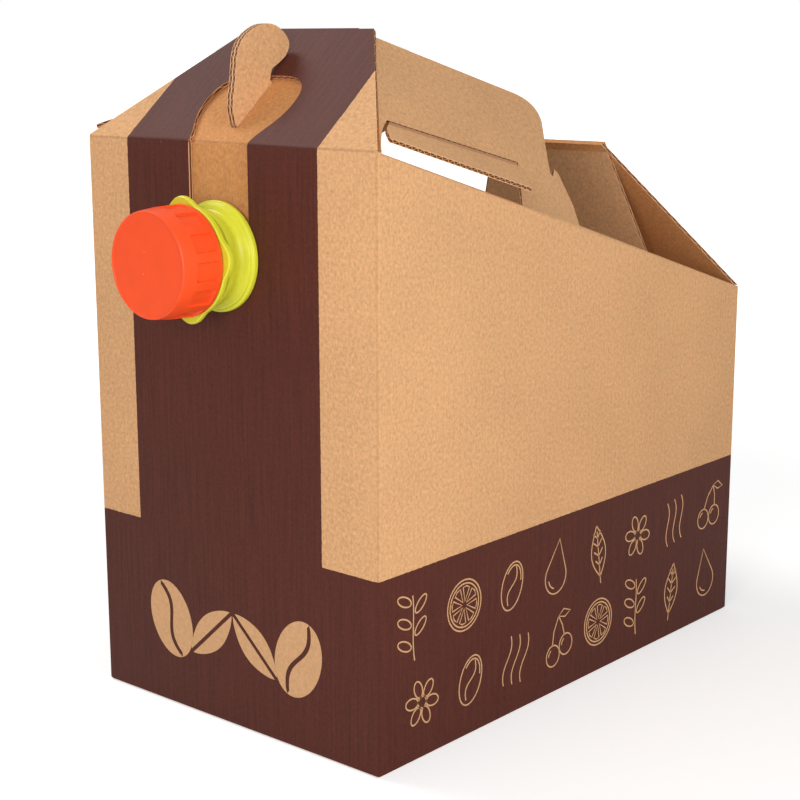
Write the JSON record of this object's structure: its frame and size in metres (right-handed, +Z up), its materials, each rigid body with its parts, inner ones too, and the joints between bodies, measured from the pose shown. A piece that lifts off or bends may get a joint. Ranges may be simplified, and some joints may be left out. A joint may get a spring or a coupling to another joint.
{
  "type": "bag in box carton",
  "caption": "Corrugated drinks carton with a gabled carrying top, grip slots, a filled bag inside and a screw-capped front spout.",
  "frame": {"origin": "centre of the base's underside, which stands on the table", "axes": "+Z up; the spout and front wall face -Y and the back wall faces +Y; +X is the carton's left-to-right width seen from the front"},
  "size_m": [0.1566, 0.28, 0.2663],
  "materials": {
    "kraft_board": "matt kraft corrugated board with dark brown print",
    "kraft_fin": "matt unprinted kraft board",
    "lime_plastic": "smooth lime-yellow polyethylene",
    "orange_plastic": "smooth orange polypropylene",
    "seal_foam": "white foamed sealing disc",
    "bag_film": "crinkled silver-grey laminate film"
  },
  "bodies": {
    "carton": {"carton_body": "kraft_board", "lock_fin": "kraft_fin", "spout": "lime_plastic", "inner_bag": "bag_film"},
    "back_flap": {"back_flap": "kraft_board"},
    "right_grip_flap": {"right_grip_flap": "kraft_board"},
    "left_grip_flap": {"left_grip_flap": "kraft_board"},
    "cap_liner": {"cap_liner": "seal_foam"},
    "cap": {"cap": "orange_plastic"}
  },
  "joints": [
    {"name": "back_flap_hinge", "type": "hinge", "parent": "carton", "child": "back_flap", "pos_m": [0, 0.1225, 0.1519], "axis": [-1, 0, 0], "range_deg": [0, 190]},
    {"name": "right_grip_hinge", "type": "hinge", "parent": "carton", "child": "right_grip_flap", "pos_m": [0.0629, -0.10349, 0.23227], "axis": [0.0478, -0.9722, 0.2293], "range_deg": [-100, 70]},
    {"name": "left_grip_hinge", "type": "hinge", "parent": "carton", "child": "left_grip_flap", "pos_m": [-0.0629, -0.10349, 0.23227], "axis": [0.0478, 0.9722, -0.2293], "range_deg": [-100, 70]},
    {"name": "cap_travel", "type": "slide", "parent": "carton", "child": "cap_liner", "axis": [0, -1, 0], "range_m": [0, 0.0061]},
    {"name": "cap_unscrew", "type": "hinge", "parent": "cap_liner", "child": "cap", "pos_m": [-0.002, -0.1225, 0.183], "axis": [0, -1, 0], "range_deg": [0, 540]}
  ],
  "couplings": [
    {"joint": "cap_travel", "follows": "cap_unscrew", "m_per_rad": 0.00063662}
  ]
}
